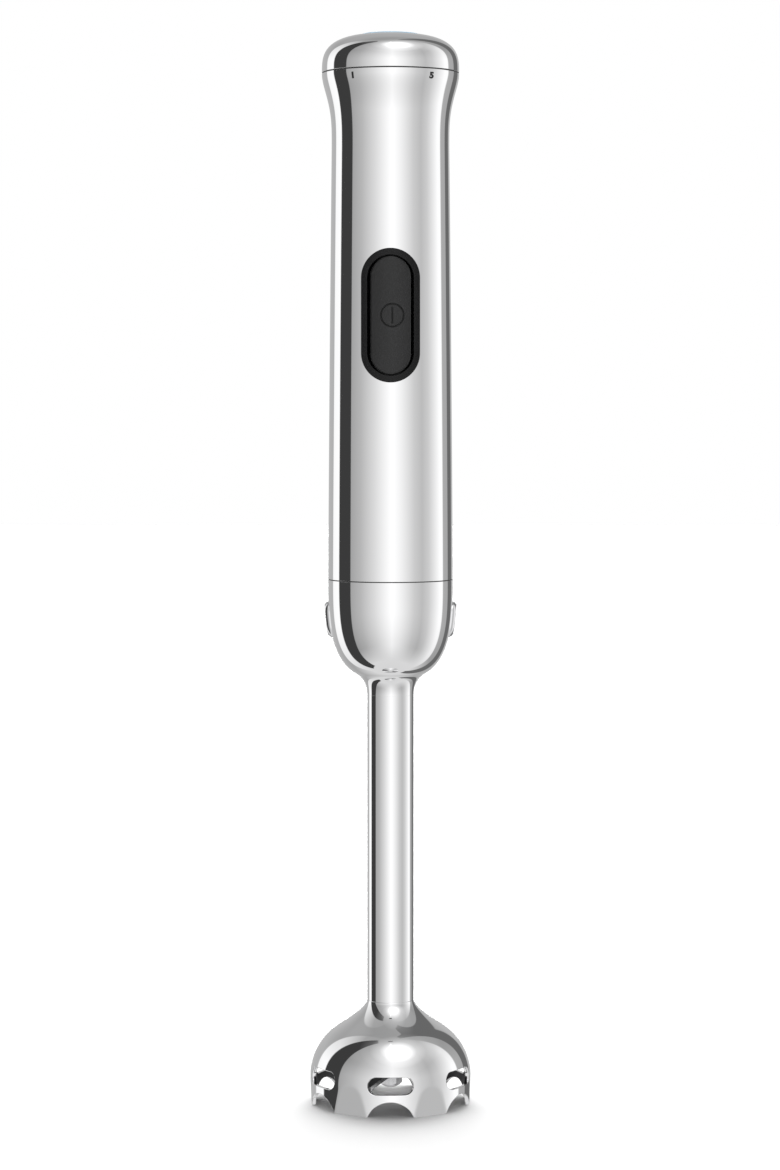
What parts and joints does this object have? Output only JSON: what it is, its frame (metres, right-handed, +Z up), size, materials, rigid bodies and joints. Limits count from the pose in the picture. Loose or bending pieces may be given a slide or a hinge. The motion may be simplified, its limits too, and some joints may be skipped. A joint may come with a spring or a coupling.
{
  "type": "immersion blender",
  "caption": "Cordless hand blender: polished steel handle with a speed dial and press switch, a latched blending shaft, and a lobed bell guard over a spinning blade.",
  "frame": {"origin": "centre of the bell's rim, on the surface it stands on", "axes": "+Z up the drive axis to the dial; the power button faces -Y; the release buttons are on -X and +X"},
  "size_m": [0.0632, 0.0636, 0.4207],
  "materials": {
    "polished_steel": "mirror-polished stainless",
    "button_metal": "satin-polished stainless",
    "black_nylon": "moulded, matte",
    "spring_steel": "spring temper",
    "seal_rubber": "moulded seal",
    "plain_steel": "turned",
    "bronze": "sintered bronze",
    "white_nylon": "moulded, matte",
    "ground_steel": "ground edges",
    "zinc_plate": "zinc plated",
    "ferrite": "sintered, dark grey",
    "screw_steel": "zinc plated screw",
    "core_steel": "laminated",
    "copper": "copper",
    "grey_abs": "moulded, matte",
    "cell_wrap": "shrink-wrapped cell",
    "nickel": "nickel plated",
    "board_green": "solder mask",
    "chip_black": "moulded",
    "bezel_black": "satin black frame",
    "pad_black": "soft-touch black",
    "sensor_metal": "stamped can",
    "lamp_blue": "blue lamp",
    "lens_blue": "translucent blue",
    "clear_acrylic": "clear"
  },
  "bodies": {
    "blending_shaft": {"blade_guard": "polished_steel", "shaft_tube": "polished_steel", "coupling_bowl": "polished_steel", "latch_carrier": "black_nylon", "latch_spring_right": "spring_steel", "latch_spring_left": "spring_steel", "shaft_hub": "black_nylon", "shaft_seal": "seal_rubber", "seal_cover": "plain_steel", "shaft_bushes": "bronze"},
    "blade_drive": {"drive_shaft": "plain_steel", "shaft_circlip": "spring_steel", "driven_coupling": "white_nylon", "blade": "ground_steel", "blade_spacer": "plain_steel", "blade_nut": "plain_steel"},
    "motor_unit": {"handle_sleeve": "polished_steel", "motor_collar": "black_nylon", "collar_seal": "seal_rubber", "motor_can": "zinc_plate", "motor_magnets": "ferrite", "motor_end_cap": "black_nylon", "motor_brushes": "ferrite", "motor_bushes": "bronze", "motor_screws": "screw_steel", "chassis_front": "grey_abs", "chassis_rear": "grey_abs", "chassis_screws": "screw_steel", "battery_cell_1": "cell_wrap", "battery_cell_2": "cell_wrap", "battery_cell_3": "cell_wrap", "battery_tabs": "nickel", "control_board": "board_green", "power_transistors": "chip_black", "board_connector": "white_nylon", "switch_body": "chip_black", "switch_bezel": "bezel_black", "button_springs": "spring_steel", "charge_jack": "chip_black", "jack_pin": "nickel", "dial_seat": "grey_abs", "glide_ring": "white_nylon", "speed_sensor": "sensor_metal", "led_board": "board_green", "led_lamps": "lamp_blue"},
    "rotor": {"motor_shaft": "plain_steel", "armature_core": "core_steel", "armature_windings": "copper", "commutator": "copper", "drive_dog": "black_nylon"},
    "speed_dial": {"dial_cap": "polished_steel", "dial_lens": "lens_blue", "light_guide": "clear_acrylic", "dial_carrier": "black_nylon", "dial_shaft": "plain_steel", "dial_screw": "screw_steel"},
    "power_button": {"power_button": "pad_black", "switch_plunger": "white_nylon"},
    "release_right": {"release_button_right": "button_metal"},
    "release_left": {"release_button_left": "button_metal"}
  },
  "joints": [
    {"name": "motor_lift", "type": "slide", "parent": "blending_shaft", "child": "motor_unit", "axis": [0, 0, 1], "range_m": [0, 0.045]},
    {"name": "dial_turn", "type": "hinge", "parent": "motor_unit", "child": "speed_dial", "pos_m": [0, 0, 0.4054], "axis": [0, 0, 1], "range_deg": [0, 70]},
    {"name": "power_press", "type": "slide", "parent": "motor_unit", "child": "power_button", "axis": [0, 1, 0], "range_m": [0, 0.0012], "stiffness_N_per_m": 900, "springref_m": -0.0015, "deforming": ["button_springs"]},
    {"name": "release_right_press", "type": "slide", "parent": "blending_shaft", "child": "release_right", "axis": [-1, 0, 0], "range_m": [0, 0.002], "stiffness_N_per_m": 1500, "springref_m": -0.001, "deforming": ["latch_spring_right"]},
    {"name": "release_left_press", "type": "slide", "parent": "blending_shaft", "child": "release_left", "axis": [1, 0, 0], "range_m": [0, 0.002], "stiffness_N_per_m": 1500, "springref_m": -0.001, "deforming": ["latch_spring_left"]},
    {"name": "rotor_spin", "type": "hinge", "parent": "motor_unit", "child": "rotor", "pos_m": [0, 0, 0.24], "axis": [0, 0, 1], "continuous": true},
    {"name": "blade_spin", "type": "hinge", "parent": "blending_shaft", "child": "blade_drive", "pos_m": [0, 0, 0.0137], "axis": [0, 0, 1], "continuous": true}
  ],
  "couplings": [
    {"joint": "blade_spin", "follows": "rotor_spin", "ratio": 1}
  ]
}
